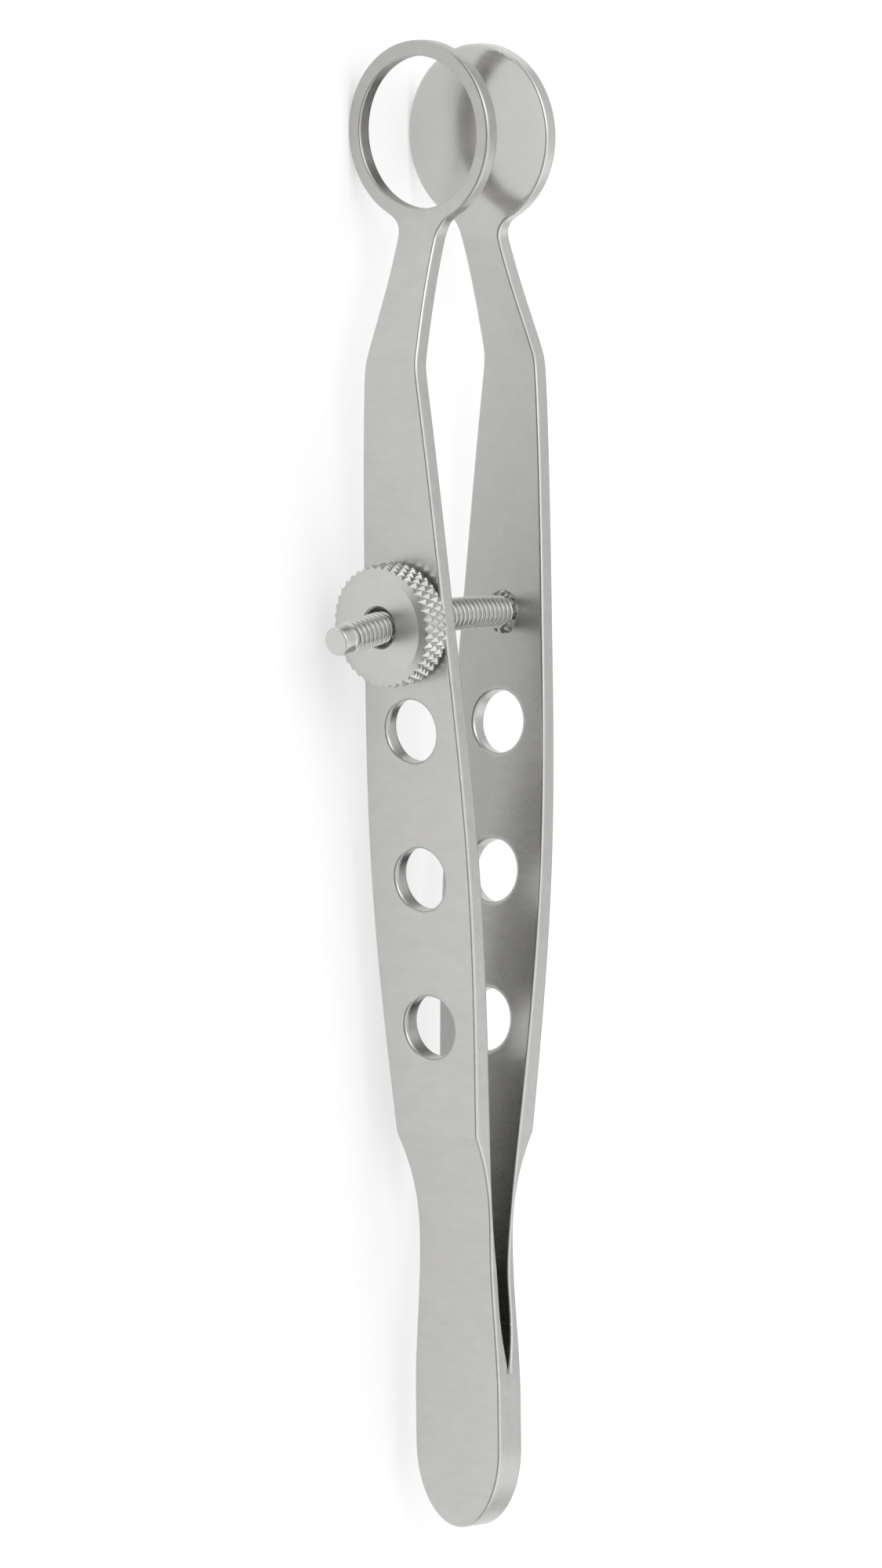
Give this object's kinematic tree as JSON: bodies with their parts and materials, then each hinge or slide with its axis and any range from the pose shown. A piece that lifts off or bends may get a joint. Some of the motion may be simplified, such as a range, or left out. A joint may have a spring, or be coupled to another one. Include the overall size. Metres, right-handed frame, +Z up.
{
  "type": "chalazion forceps",
  "caption": "Spring forceps with an open ring jaw facing a solid round plate, closed and locked by a knurled round nut on a threaded stud through the arms.",
  "frame": {"origin": "middle of the bounding box in X and Y, at the height of the surface that the instrument lies on", "axes": "+X towards the butt, -X towards the ring and the plate; -Y towards the ring arm and the nut, +Y towards the plate arm; +Z up, across the width of the arms"},
  "size_m": [0.0902, 0.0176, 0.0111],
  "materials": {
    "satin_steel": "fine satin, bead-brushed",
    "stud_steel": "turned and threaded",
    "braze": "cast fillet, left dull",
    "nut_steel": "satin faces, bright knurl"
  },
  "bodies": {
    "butt": {"ring_arm_butt": "satin_steel", "plate_arm_butt": "satin_steel", "butt_weld": "satin_steel"},
    "ring_arm": {"ring_arm": "satin_steel"},
    "plate_arm": {"plate_arm": "satin_steel", "clamp_stud": "stud_steel", "stud_braze": "braze"},
    "nut": {"knurled_nut": "nut_steel"}
  },
  "joints": [
    {"name": "nut_spin", "type": "hinge", "parent": "ring_arm", "child": "nut", "pos_m": [-0.01014, -0.00237, 0.00555], "axis": [-0.081, 0.9967, 0], "range_deg": [0, 2140]},
    {"name": "ring_arm_flex", "type": "hinge", "parent": "butt", "child": "ring_arm", "pos_m": [0.0281, 0.00209, 0.00555], "axis": [0, 0, -1], "range_deg": [0, 1.76], "stiffness_Nm_per_rad": 1},
    {"name": "plate_arm_flex", "type": "hinge", "parent": "butt", "child": "plate_arm", "pos_m": [0.0281, 0.00332, 0.00555], "axis": [0, 0, 1], "range_deg": [0, 1.76], "stiffness_Nm_per_rad": 1}
  ],
  "couplings": [
    {"joint": "nut_spin", "follows": "ring_arm_flex", "ratio": 1215},
    {"joint": "plate_arm_flex", "follows": "ring_arm_flex", "ratio": 1}
  ]
}
